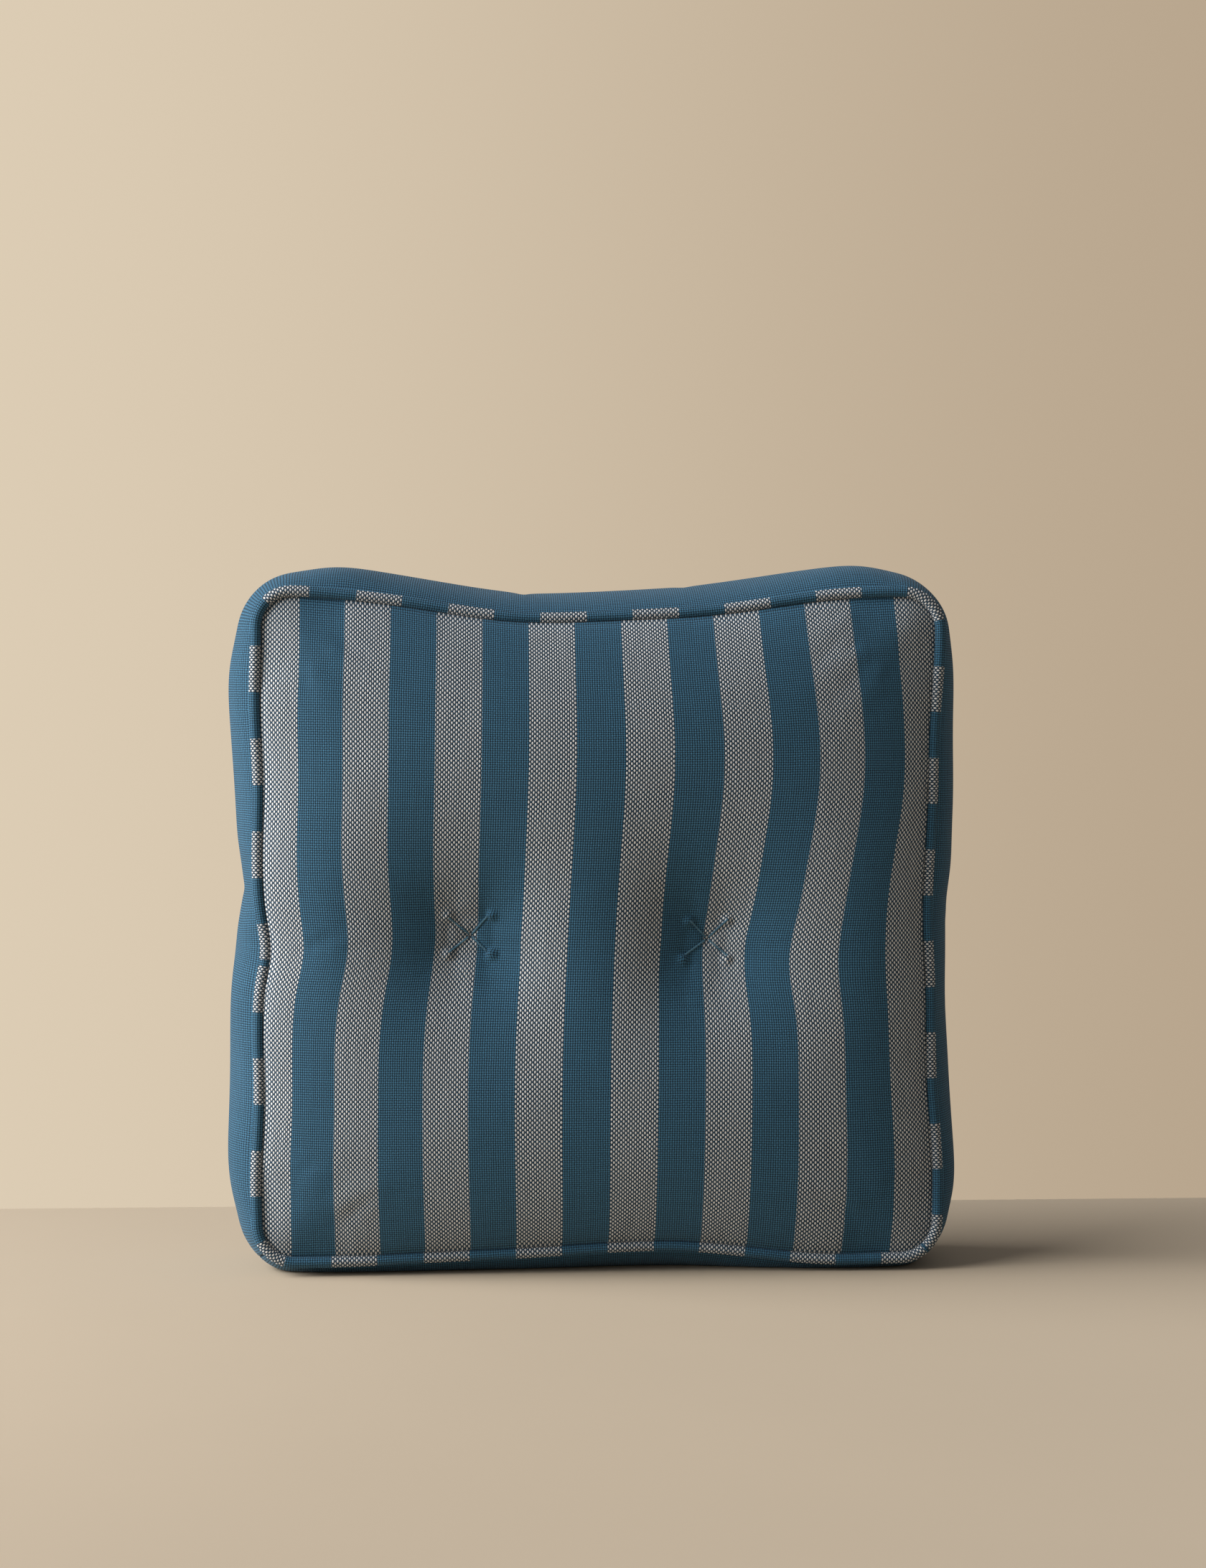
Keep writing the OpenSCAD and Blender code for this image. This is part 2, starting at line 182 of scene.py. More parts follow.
@dataclass(frozen=True)
class Outline:
    """The line of the welts, seen from the front, and the flat pattern that is sewn to it."""

    columns: int = 108
    rows: int = 106
    cell: float = 0.0058
    cut_radius: float = 0.034
    width: float = 0.605
    height: float = 0.594
    middle: float = 0.3095
    left_draw: float = 0.0030
    left_pinch: Triple = (-0.07, 0.10, 0.0050)
    right_draw: float = 0.0095
    top_draw: float = 0.0245
    foot_draw: float = 0.0120
    foot_lean: float = 0.0015
    reach: float = 0.02
    waver: float = 0.0009
    right_wave: Point = (11.0, 0.8)
    left_wave: Point = (12.5, 2.2)
    top_wave: Point = (9.5, 1.0)
    foot_wave: Point = (8.0, 0.0)
    foot_share: float = 0.8
    lean: Point = (0.0065, 0.0150)
    pulls: tuple[tuple[float, float, float, float, float], ...] = (
        (0.264, 0.459, 0.215, 0.101, -0.0180),
        (0.310, 0.071, 0.100, 0.188, -0.0125),
        (-0.121, 0.177, 0.172, 0.161, 0.0075),
        (0.167, 0.279, 0.078, 0.045, 0.0088),
        (-0.200, 0.300, 0.098, 0.059, -0.0071),
    )

    @property
    def half(self) -> Point:
        """Half the width and height of a cut panel."""
        return self.columns * self.cell / 2, self.rows * self.cell / 2

    @property
    def around(self) -> int:
        """How many cells lie round the rim of a panel."""
        return 2 * (self.columns + self.rows)

    def cut(self, i: float, j: float) -> Point:
        """Where a point of the square grid lies on a cut panel with round corners.

        Args:
            i: Columns from the left edge.
            j: Rows from the lower edge.

        Returns:
            The point's place from the middle of the panel.
        """
        half_w, half_h = self.half
        x, z = i * self.cell - half_w, j * self.cell - half_h
        r = self.cut_radius
        a, b = (abs(x) - half_w + r) / r, (abs(z) - half_h + r) / r
        if a <= 0 or b <= 0:
            return x, z
        a, b = a * math.sqrt(1 - b * b / 2), b * math.sqrt(1 - a * a / 2)
        return math.copysign(half_w - r + a * r, x), math.copysign(half_h - r + b * r, z)

    def thread(self, x: float, z: float) -> Point:
        """Which thread of the cloth lies at a place of a panel. The stripes lean, and are pulled aside."""
        up = z + self.middle
        aside = sum(
            far * math.exp(-((x - px) / wide) ** 2 - ((up - pz) / high) ** 2)
            for px, pz, wide, high, far in self.pulls
        )
        return x + self.lean[0] - self.lean[1] * z + aside, z

    def rim(self, k: int) -> Point:
        """The grid place of the kth point of the rim, from the lower left corner along the foot."""
        k %= self.around
        if k < self.columns:
            return k, 0
        k -= self.columns
        if k < self.rows:
            return self.columns, k
        k -= self.rows
        if k < self.columns:
            return self.columns - k, self.rows
        return 0, self.rows - (k - self.columns)

    def wave(self, t: float, turns_and_start: Point) -> float:
        """The small waver of a hand-sewn seam at a share of the way along it."""
        turns, start = turns_and_start
        return self.waver * math.sin(turns * t + start)

    def sewn(self, x: float, z: float) -> Point:
        """Where a point of a cut panel comes to lie inside the drawn-in line of the welts."""
        half_w, half_h = self.half
        fx, fz = x / half_w, z / half_h
        across, up = fx * self.width / 2, fz * self.height / 2
        tx = across / (self.width / 2 - self.reach)
        tz = up / (self.height / 2 - self.reach)
        if fx > 0:
            side = -self.right_draw * hump(tz, 0.02) - self.wave(tz, self.right_wave)
        else:
            drawn = self.left_draw * hump(tz, -0.1) + dents(tz, [self.left_pinch])
            side = drawn + self.wave(tz, self.left_wave)
        if fz > 0:
            end = -self.top_draw * hump(tx, -0.1) + self.wave(tx, self.top_wave)
        else:
            drawn = self.foot_draw * hump(tx / self.foot_share, 0.25) - self.foot_lean * tx
            end = drawn + self.wave(tx, self.foot_wave)
        return across + side * abs(fx) ** 3, self.middle + up + end * abs(fz) ** 3

    def welt_line(self) -> list[Vector]:
        """The middle of a welt, one point for each point of the rim, in the plane of the seam."""
        flat = [self.sewn(*self.cut(*self.rim(k))) for k in range(self.around)]
        return [Vector((x, 0, z)) for x, z in flat]


def outward(line: list[Vector]) -> list[Vector]:
    """The direction that points out of a closed line in the XZ plane, at each of its points."""
    count = len(line)
    result = []
    for k in range(count):
        along = (line[(k + 2) % count] - line[k - 2]).normalized()
        result.append(Vector((along.z, 0, -along.x)))
    return result


@dataclass(frozen=True)
class TuftPlan:
    """Where a tuft draws in the face. Its legs end at the four corners of a small square."""

    name: str
    column: int
    row: int
    pit: Point
    legs: tuple[tuple[tuple[int, int], Point], ...]


# A leg is the cells that it spans on the cut panel, and where its hole comes to lie from the pit.
TUFTS = (
    TuftPlan("left", 34, 52, (-0.1138, 0.3030), (
        ((-4, 3), (-0.0200, 0.0165)), ((-4, -3), (-0.0200, -0.0152)),
        ((3, 3), (0.0150, 0.0178)), ((3, -3), (0.0143, -0.0138)))),
    TuftPlan("right", 71, 51, (0.0948, 0.2992), (
        ((-3, 3), (-0.0159, 0.0170)), ((-4, -3), (-0.0205, -0.0140)),
        ((3, 3), (0.0180, 0.0182)), ((3, -3), (0.0180, -0.0152)))),
)


@dataclass(frozen=True)
class Depths:
    """The depths of the cushion along Y, from its middle, and how its seams are tucked in."""

    middle: float = 0.3095
    seam: float = 0.0605
    tuck: float = 0.0030
    tuck_in: float = 0.0006
    box_cut: float = 0.1345
    box_lean: float = 0.0070
    face: float = 0.044
    box_swell: float = 0.0265
    box_skew: float = 0.0036
    box_corner: float = 0.42
    corner: Point = (0.290, 0.282)
    corner_reach: float = 0.045
    left_dents: tuple[Triple, ...] = ((0.352, 0.030, 0.0100), (0.400, 0.055, 0.0075), (0.480, 0.050, 0.0045),
                                    (0.330, 0.022, 0.0045), (0.200, 0.075, 0.0030))
    right_dents: tuple[Triple, ...] = ((0.240, 0.040, 0.0030), (0.420, 0.070, -0.0035),
                                       (0.360, 0.030, -0.0030), (0.060, 0.035, -0.0040))
    top_dents: tuple[Triple, ...] = ((0.0, 0.240, 0.0048), (-0.240, 0.042, -0.0042), (0.246, 0.042, -0.0044))
    pit: float = 0.0745
    leg_end: float = 0.0855
    limit: float = 0.1085
    rounding: float = 0.25
    crown: float = 0.97
    crown_reach: float = 0.30
    box_square: float = 3.6
    start_dip: Point = (0.06, 0.03)

    def boxing(self, place: Vector, out: Vector, t: float) -> float:
        """How far the boxing swells out at a share of its width. Its left side is fuller, with dents."""
        dx, dz = abs(place.x) - self.corner[0], abs(place.z - self.middle) - self.corner[1]
        corner = 1 - self.box_corner * math.exp(-(dx * dx + dz * dz) / self.corner_reach ** 2)
        swell = self.box_swell - self.box_skew * out.x
        swell -= dents(place.z, self.left_dents if out.x < 0 else self.right_dents) * abs(out.x)
        swell -= dents(place.x, self.top_dents) * max(out.z, 0.0)
        return swell * corner * (1 - abs(2 * t - 1) ** self.box_square)


@dataclass
class CutCover:
    """The cover's flat pieces, joined edge to edge as a box, ready to be sewn and stuffed."""

    outline: Outline
    depths: Depths
    depth_rows: int = 22

    def depth(self, x: float) -> float:
        """The cut width of the boxing, which is a little more on the left."""
        return self.depths.box_cut - self.depths.box_lean * x / self.outline.half[0]

    def panel(self, bm: Mesh, side: Side) -> None:
        """Adds a flat panel of square cells with round corners, with its pattern as its UV map."""
        shape = self.outline
        uv = bm.loops.layers.uv[CLOTH_UV]
        made = bmesh.ops.create_grid(bm, x_segments=shape.columns, y_segments=shape.rows, size=0.5)
        for vert in made["verts"]:
            x, z = shape.cut((vert.co.x + 0.5) * shape.columns, (vert.co.y + 0.5) * shape.rows)
            vert.co = (x, 0 if side is Side.FRONT else self.depth(x), z)
        patch = Patch.FRONT_PANEL if side is Side.FRONT else Patch.BACK_PANEL
        for face in {face for vert in made["verts"] for face in vert.link_faces}:
            face.material_index = patch.value
            for loop in face.loops:
                loop[uv].uv = shape.thread(loop.vert.co.x, loop.vert.co.z)

    def boxing(self, bm: Mesh) -> None:
        """Adds the strip that joins the two panels, with the length along it as its UV map."""
        shape = self.outline
        count = shape.around
        uv = bm.loops.layers.uv[CLOTH_UV]
        ring = [Vector(shape.cut(*shape.rim(k))) for k in range(count + 1)]
        lengths = lengths_along(ring)
        places = strip(bm, count, self.depth_rows)
        for face in {face for vert in places for face in vert.link_faces}:
            first = min(places[vert][0] for vert in face.verts)
            middle = sum(places[vert][1] for vert in face.verts) / 4
            foot = Patch.ZIP_FRONT if middle < 0.5 else Patch.ZIP_BACK
            face.material_index = (foot if first < shape.columns else Patch.BOXING).value
            for loop in face.loops:
                k, t = places[loop.vert]
                loop[uv].uv = (lengths[k], t * self.depths.box_cut)
        for vert, (k, t) in places.items():
            x, z = ring[k]
            vert.co = (x, t * self.depth(x), z)

    def build(self) -> Mesh:
        """Joins the two panels and the boxing into one closed cover, with its faces outwards."""
        bm = bmesh.new()
        bm.loops.layers.uv.new(CLOTH_UV)
        self.panel(bm, Side.FRONT)
        self.panel(bm, Side.BACK)
        self.boxing(bm)
        bmesh.ops.remove_doubles(bm, verts=bm.verts[:], dist=MERGE)
        bmesh.ops.recalc_face_normals(bm, faces=bm.faces[:])
        bm.verts.index_update()
        return bm


@dataclass
class Stuffing:
    """Sews the cut cover to the line of its seams and blows it up."""

    outline: Outline
    depths: Depths
    frames: int = 26
    quality: int = 5
    pressure: float = 10.0
    tension: float = 25.0
    compression: float = 12.0
    shear: float = 6.0
    bending: float = 2.0
    cloth_mass: float = 0.15

    def tuft_points(self) -> dict[tuple[int, int], tuple[Point, float]]:
        """The grid places that the tufts hold, with the place and depth that each one is held at."""
        held = {}
        depths = self.depths
        for tuft in TUFTS:
            held[(tuft.column, tuft.row)] = (tuft.pit, depths.pit)
            for (columns, rows), (dx, dz) in tuft.legs:
                spot = (tuft.pit[0] + dx, tuft.pit[1] + dz)
                held[(tuft.column + columns, tuft.row + rows)] = (spot, depths.leg_end)
        return held

    def face_depth(self, x: float, z: float, px: float, pz: float) -> float:
        """How far out a point of a face starts, which is a smooth crown with a dip at each tuft."""
        half_w, half_h = self.outline.half
        kx, kz = min(abs(x) / half_w, 1), min(abs(z) / half_h, 1)
        swell = self.depths.face * math.sqrt((1 - kx ** 4) * (1 - kz ** 4))
        wide, deep = self.depths.start_dip
        gaps = [(px - tuft.pit[0]) ** 2 + (pz - tuft.pit[1]) ** 2 for tuft in TUFTS]
        dip = sum(deep * math.exp(-gap / wide ** 2) for gap in gaps)
        return self.depths.seam + swell - min(dip, swell)

    def start(self, cut: np.ndarray, depth: Callable[[float], float]) -> tuple[np.ndarray, list[int]]:
        """Places every point of the cut cover near where it ends up.

        Args:
            cut: The points of the cut cover.
            depth: The cut width of the boxing at a place across the cushion.

        Returns:
            The places, and the points that the seams and tufts hold.
        """
        shape, depths = self.outline, self.depths
        half_w, half_h = shape.half
        rim = {self.key(*shape.cut(*shape.rim(k))): k for k in range(shape.around)}
        line = shape.welt_line()
        out = outward(line)
        tufts = {self.key(*shape.cut(*place)): spot for place, spot in self.tuft_points().items()}
        placed, held = np.zeros_like(cut), []
        for index, (x, y, z) in enumerate(cut):
            t = y / depth(x)
            side = -1 if t < 0.5 else 1
            key = self.key(x, z)
            k = rim.get(key)
            if k is not None:
                edge = line[k] - out[k] * depths.tuck_in
                if t < MERGE or t > 1 - MERGE:
                    placed[index] = (edge.x, side * (depths.seam - depths.tuck), edge.z)
                    held.append(index)
                    continue
                spot = edge + out[k] * depths.boxing(line[k], out[k], t)
                placed[index] = (spot.x, (2 * t - 1) * (depths.seam - depths.tuck), spot.z)
                continue
            if key in tufts:
                (px, pz), level = tufts[key]
                placed[index] = (px, side * level, pz)
                held.append(index)
                continue
            px, pz = shape.sewn(x, z)
            placed[index] = (px, side * self.face_depth(x, z, px, pz), pz)
        return placed, held

    @staticmethod
    def key(x: float, z: float) -> tuple[int, int]:
        """A point's place on the pattern, in hundredths of a millimetre."""
        return round(x * 1e5), round(z * 1e5)

    def inflate(self, bm: Mesh, depth: Callable[[float], float]) -> list[Vector]:
        """Runs the cloth and gives the place of every point of the stuffed cover.

        Args:
            bm: The cut cover. It stays as it is.
            depth: The cut width of the boxing at a place across the cushion.

        Returns:
            One place for each point of the bmesh, in order.
        """
        mesh = bpy.data.meshes.new("sewing")
        bm.to_mesh(mesh)
        count = len(mesh.vertices)
        cut = np.zeros(count * 3)
        mesh.vertices.foreach_get("co", cut)
        cut = cut.reshape(-1, 3)
        placed, held = self.start(cut, depth)
        mesh.vertices.foreach_set("co", placed.ravel())
        piece = place_object("sewing", mesh)
        placed = self.simulate(piece, cut, held)
        bpy.data.objects.remove(piece)
        bpy.data.meshes.remove(mesh)
        return [Vector(co) for co in placed]

    def simulate(self, piece: Piece, cut: np.ndarray, held: list[int]) -> np.ndarray:
        """Blows the sewn cover up from inside, with its cut pieces as its unstretched shape."""
        piece.shape_key_add(name="Basis")
        rest = piece.shape_key_add(name="cut")
        rest.data.foreach_set("co", cut.ravel())
        rest.value = 0
        piece.vertex_groups.new(name="held").add(held, 1.0, "REPLACE")
        cloth = piece.modifiers.new("Cloth", "CLOTH")
        settings = cloth.settings
        settings.quality = self.quality
        settings.mass = self.cloth_mass
        settings.tension_stiffness = self.tension
        settings.compression_stiffness = self.compression
        settings.shear_stiffness = self.shear
        settings.bending_stiffness = self.bending
        settings.use_pressure = True
        settings.uniform_pressure_force = self.pressure
        settings.vertex_group_mass = "held"
        settings.pin_stiffness = 1
        settings.effector_weights.gravity = 0
        settings.rest_shape_key = rest
        cloth.collision_settings.use_collision = False
        cloth.collision_settings.use_self_collision = False
        cloth.point_cache.frame_start = 1
        cloth.point_cache.frame_end = self.frames
        scene = bpy.context.scene
        first = scene.frame_current
        for number in range(1, self.frames + 1):
            scene.frame_set(number)
        result = piece.evaluated_get(bpy.context.evaluated_depsgraph_get()).data
        places = np.zeros(len(result.vertices) * 3)
        result.vertices.foreach_get("co", places)
        piece.modifiers.remove(cloth)
        scene.frame_set(first)
        return places.reshape(-1, 3)


# ---- The finishes ----


class Nodes:
    """A node tree under construction, with short ways to add and join nodes."""

    def __init__(self, tree: bpy.types.NodeTree) -> None:
        """Keeps the tree."""
        self.tree = tree

    def add(self, kind: str, **values: object) -> bpy.types.Node:
        """Adds a node and sets its properties."""
        node = self.tree.nodes.new(kind)
        for name, value in values.items():
            setattr(node, name, value)
        return node

    def put(self, socket: Socket, value: object) -> None:
        """Joins an output to a socket, or sets the socket's own value."""
        if isinstance(value, Socket):
            self.tree.links.new(value, socket)
        else:
            socket.default_value = value

    def math(self, operation: str, *values: object) -> Socket:
        """A Math node over the values, and its output."""
        node = self.add("ShaderNodeMath", operation=operation)
        for socket, value in zip(node.inputs, values):
            self.put(socket, value)
        return node.outputs[0]

    def times(self, a: object, b: object) -> Socket:
        """The product of two values."""
        return self.math("MULTIPLY", a, b)

    def plus(self, a: object, b: object) -> Socket:
        """The sum of two values."""
        return self.math("ADD", a, b)

    def minus(self, a: object, b: object) -> Socket:
        """The first value less the second."""
        return self.math("SUBTRACT", a, b)

    def ramp(self, value: object, low: float, high: float, start: object = 0.0, end: object = 1.0) -> Socket:
        """Maps a value smoothly from one range to another."""
        node = self.add("ShaderNodeMapRange", interpolation_type="SMOOTHSTEP")
        names = ("Value", "From Min", "From Max", "To Min", "To Max")
        for name, given in zip(names, (value, low, high, start, end)):
            self.put(node.inputs[name], given)
        return node.outputs["Result"]

    def mix(self, share: object, a: object, b: object, blend: str = "MIX") -> Socket:
        """Mixes two colours."""
        node = self.add("ShaderNodeMix", data_type="RGBA", blend_type=blend)
        self.put(node.inputs[0], share)
        self.put(node.inputs[6], a)
        self.put(node.inputs[7], b)
        return node.outputs[2]

    def tint(self, share: object, dark: Triple, light: Triple) -> Socket:
        """Mixes two plain colours."""
        return self.mix(share, (*dark, 1), (*light, 1))

    def noise(self, vector: object, scale: float, detail: float = 2.0) -> Socket:
        """A noise value of about 0 to 1."""
        node = self.add("ShaderNodeTexNoise", noise_dimensions="3D")
        node.inputs["Scale"].default_value = scale
        node.inputs["Detail"].default_value = detail
        self.put(node.inputs["Vector"], vector)
        return node.outputs["Fac"]

    def vector(self, x: object = 0.0, y: object = 0.0, z: object = 0.0) -> Socket:
        """A vector from three values."""
        node = self.add("ShaderNodeCombineXYZ")
        for socket, value in zip(node.inputs, (x, y, z)):
            self.put(socket, value)
        return node.outputs[0]

    def bump(self, shader: bpy.types.Node, height: Socket, strength: float, distance: float) -> None:
        """Gives a shader its small relief."""
        node = self.add("ShaderNodeBump")
        node.inputs["Strength"].default_value = strength
        node.inputs["Distance"].default_value = distance
        self.put(node.inputs["Height"], height)
        self.put(shader.inputs["Normal"], node.outputs[0])


def new_material(name: str) -> tuple[Material, Nodes, bpy.types.Node]:
    """Starts a material, and gives it with its nodes and its shader."""
    made = bpy.data.materials.new(name)
    made.use_nodes = True
    return made, Nodes(made.node_tree), made.node_tree.nodes["Principled BSDF"]


def new_group(
    name: str, inputs: dict[str, tuple[str, object]], outputs: dict[str, str]
) -> tuple[Nodes, bpy.types.Node, bpy.types.Node]:
    """Starts a shader node group.

    Args:
        name: The group's name.
        inputs: Each input's kind of socket and value, by name.
        outputs: Each output's kind of socket, by name.

    Returns:
        The nodes, the group's input node and its output node.
    """
    tree = bpy.data.node_groups.new(name, "ShaderNodeTree")
    for label, (kind, value) in inputs.items():
        socket = tree.interface.new_socket(label, in_out="INPUT", socket_type=kind)
        if value is not None:
            socket.default_value = value
    for label, kind in outputs.items():
        tree.interface.new_socket(label, in_out="OUTPUT", socket_type=kind)
    nodes = Nodes(tree)
    return nodes, nodes.add("NodeGroupInput"), nodes.add("NodeGroupOutput")


NUMBER = "NodeSocketFloat"
COLOUR = "NodeSocketColor"
VECTOR = "NodeSocketVector"


def plain_weave_group() -> bpy.types.NodeTree:
    """The plain weave: warp and weft threads that pass over and under each other by turns."""
    inputs = {
        "Place": (VECTOR, None),
        "Warp Pitch": (NUMBER, 0.0021),
        "Weft Pitch": (NUMBER, 0.00224),
        "Width A": (NUMBER, 0.84),
        "Width B": (NUMBER, 0.78),
        "Float": (NUMBER, 0.20),
        "Warp A": (COLOUR, None),
        "Warp B": (COLOUR, None),
        "Weft": (COLOUR, None),
        # The weft's painted shade colour, used in the ivory stripes.
        "Weft Shaded": (COLOUR, (0.012, 0.022, 0.045, 1)),
        "Stripe": (NUMBER, 0.0418),
        "Gap": (COLOUR, None),
        "Uneven": (NUMBER, 0.2),
    }
    outputs = {"Color": COLOUR, "Height": NUMBER, "Warp Mask": NUMBER}
    nodes, group_in, result = new_group("Plain Weave", inputs, outputs)
    given = group_in.outputs
    place = nodes.add("ShaderNodeSeparateXYZ")
    nodes.put(place.inputs[0], given["Place"])
    sway = nodes.times(nodes.minus(nodes.noise(given["Place"], 90.0), 0.5), 0.0009)
    across = nodes.math("DIVIDE", nodes.plus(place.outputs[0], sway), given["Warp Pitch"])
    along = nodes.math("DIVIDE", nodes.plus(place.outputs[1], sway), given["Weft Pitch"])
    warp_number, weft_number = nodes.math("FLOOR", across), nodes.math("FLOOR", along)
    warp_side = nodes.minus(nodes.math("FRACT", across), 0.5)
    weft_side = nodes.minus(nodes.math("FRACT", along), 0.5)
    parity = nodes.math("MODULO", nodes.math("ABSOLUTE", nodes.plus(warp_number, weft_number)), 2.0)
    # Half a wave over each cell: a thread is at its highest in the middle of the cell where it lies on top.
    warp_wave = nodes.math("COSINE", nodes.times(weft_side, math.pi))
    weft_wave = nodes.math("COSINE", nodes.times(warp_side, math.pi))
    turn = nodes.minus(1.0, nodes.times(parity, 2.0))

    band = nodes.math("FLOOR", nodes.plus(nodes.math("DIVIDE", place.outputs[0], given["Stripe"]), 0.5))
    stripe = nodes.math("MODULO", nodes.math("ABSOLUTE", band), 2.0)
    spread = nodes.minus(given["Width B"], given["Width A"])
    warp_width = nodes.plus(given["Width A"], nodes.times(stripe, spread))

    def thread(side: object, wave: object, sign: object, width: object) -> Socket:
        """The height of one thread: round across its width, waving along its length."""
        share = nodes.math("DIVIDE", nodes.times(side, 2.0), width)
        dome = nodes.minus(1.0, nodes.math("POWER", nodes.math("ABSOLUTE", share), 2.2))
        return nodes.plus(dome, nodes.times(nodes.times(wave, sign), 0.72))

    lift = nodes.times(given["Float"], stripe)
    warp = nodes.plus(thread(warp_side, warp_wave, turn, warp_width), lift)
    weft = thread(weft_side, weft_wave, nodes.times(turn, -1.0), 0.90)
    mask = nodes.ramp(nodes.minus(warp, weft), -0.12, 0.12)
    top = nodes.math("MAXIMUM", warp, weft)

    # Every thread is a little lighter or darker than the next, and changes slowly along its length.
    warp_tone = nodes.noise(nodes.vector(warp_number, nodes.times(along, 0.06)), 0.83)
    weft_tone = nodes.noise(nodes.vector(nodes.times(across, 0.06), weft_number, 7.0), 0.83)
    tone_node = nodes.add("ShaderNodeMix", data_type="FLOAT")
    for number, value in ((0, mask), (2, weft_tone), (3, warp_tone)):
        nodes.put(tone_node.inputs[number], value)
    grain = nodes.noise(nodes.vector(across, along), 2.6)
    tone = nodes.plus(nodes.times(tone_node.outputs[0], 0.6), nodes.times(grain, 0.4))
    tone = nodes.times(nodes.minus(tone, 0.5), given["Uneven"])
    tone = nodes.plus(1.0, nodes.times(tone, 4.0))
    # Painted shade and highlight: a thread is painted darker where it dips low and lighter up to its raised
    # top, times the random tone of each thread.
    top_highlight = nodes.minus(1.60, nodes.times(stripe, 0.3))
    painted_shade_and_tone = nodes.times(nodes.ramp(top, 0.5, 1.75, 0.40, top_highlight), tone)
    warp_colour = nodes.mix(stripe, given["Warp A"], given["Warp B"])
    # Painted shade: in the ivory stripes the weft is painted darker, as shade between the raised ivory
    # floats.
    weft_colour = nodes.mix(nodes.times(stripe, 0.6), given["Weft"], given["Weft Shaded"])
    colour = nodes.mix(mask, weft_colour, warp_colour)
    colour = nodes.mix(1.0, colour, nodes.vector(painted_shade_and_tone, painted_shade_and_tone, painted_shade_and_tone), "MULTIPLY")
    # Painted shade: the low places between the threads are mixed towards the dark gap colour.
    colour = nodes.mix(nodes.ramp(top, 0.10, 1.15, 1.0, 0.0), colour, given["Gap"])
    nodes.put(result.inputs["Color"], colour)
    nodes.put(result.inputs["Height"], top)
    nodes.put(result.inputs["Warp Mask"], mask)
    return nodes.tree


@dataclass(frozen=True)
class Cloth:
    """The cover's plain weave. The warps are of two colours by turns where it is striped."""

    name: str
    warp_a: Triple
    warp_b: Triple
    weft: Triple = (0.025, 0.086, 0.140)
    # The dark colour painted as shade into the gaps between the threads.
    gap: Triple = (0.004, 0.011, 0.020)
    stripe: float = 0.04176
    turned: bool = False
    shift: float = 0.0
    bump: float = 0.00035

    def material(self, group: bpy.types.NodeTree) -> Material:
        """Builds the material with the weave group."""
        made, nodes, shader = new_material(self.name)
        uv = nodes.add("ShaderNodeUVMap", uv_map=CLOTH_UV)
        mapping = nodes.add("ShaderNodeMapping")
        mapping.inputs["Location"].default_value = (self.shift, 0, 0)
        if self.turned:
            mapping.inputs["Rotation"].default_value = (0, 0, math.pi / 2)
        nodes.put(mapping.inputs["Vector"], uv.outputs[0])
        weave = nodes.add("ShaderNodeGroup", node_tree=group)
        nodes.put(weave.inputs["Place"], mapping.outputs[0])
        colours = {"Warp A": self.warp_a, "Warp B": self.warp_b, "Weft": self.weft, "Gap": self.gap}
        for label, value in colours.items():
            weave.inputs[label].default_value = (*value, 1)
        weave.inputs["Stripe"].default_value = self.stripe
        nodes.put(shader.inputs["Base Color"], weave.outputs["Color"])
        rough = nodes.ramp(weave.outputs["Height"], 0.0, 1.6, 0.95, 0.78)
        nodes.put(shader.inputs["Roughness"], rough)
        shader.inputs["Specular IOR Level"].default_value = 0.25
        shader.inputs["Sheen Weight"].default_value = 0.14
        shader.inputs["Sheen Roughness"].default_value = 0.45
        shader.inputs["Sheen Tint"].default_value = (0.75, 0.86, 0.95, 1)
        nodes.bump(shader, weave.outputs["Height"], 0.7, self.bump)
        return made


@dataclass(frozen=True)
class Soft:
    """A plain soft finish with fine fibres: twine, cotton, casing or fibre."""

    name: str
    light: Triple
    dark: Triple
    scale: float = 900.0
    roughness: float = 0.9
    bump: float = 0.0002
    sheen: float = 0.2

    def material(self) -> Material:
        """Builds the material from noise on Object coordinates."""
        made, nodes, shader = new_material(self.name)
        place = nodes.add("ShaderNodeTexCoord").outputs["Object"]
        fibre = nodes.noise(place, self.scale, 3.0)
        cloud = nodes.noise(place, self.scale / 30, 2.0)
        share = nodes.plus(nodes.times(fibre, 0.7), nodes.times(cloud, 0.3))
        colour = nodes.tint(nodes.ramp(share, 0.35, 0.65), self.dark, self.light)
        nodes.put(shader.inputs["Base Color"], colour)
        rough = nodes.ramp(fibre, 0.3, 0.7, self.roughness, self.roughness - 0.12)
        nodes.put(shader.inputs["Roughness"], rough)
        shader.inputs["Sheen Weight"].default_value = self.sheen
        nodes.bump(shader, fibre, 0.6, self.bump)
        return made


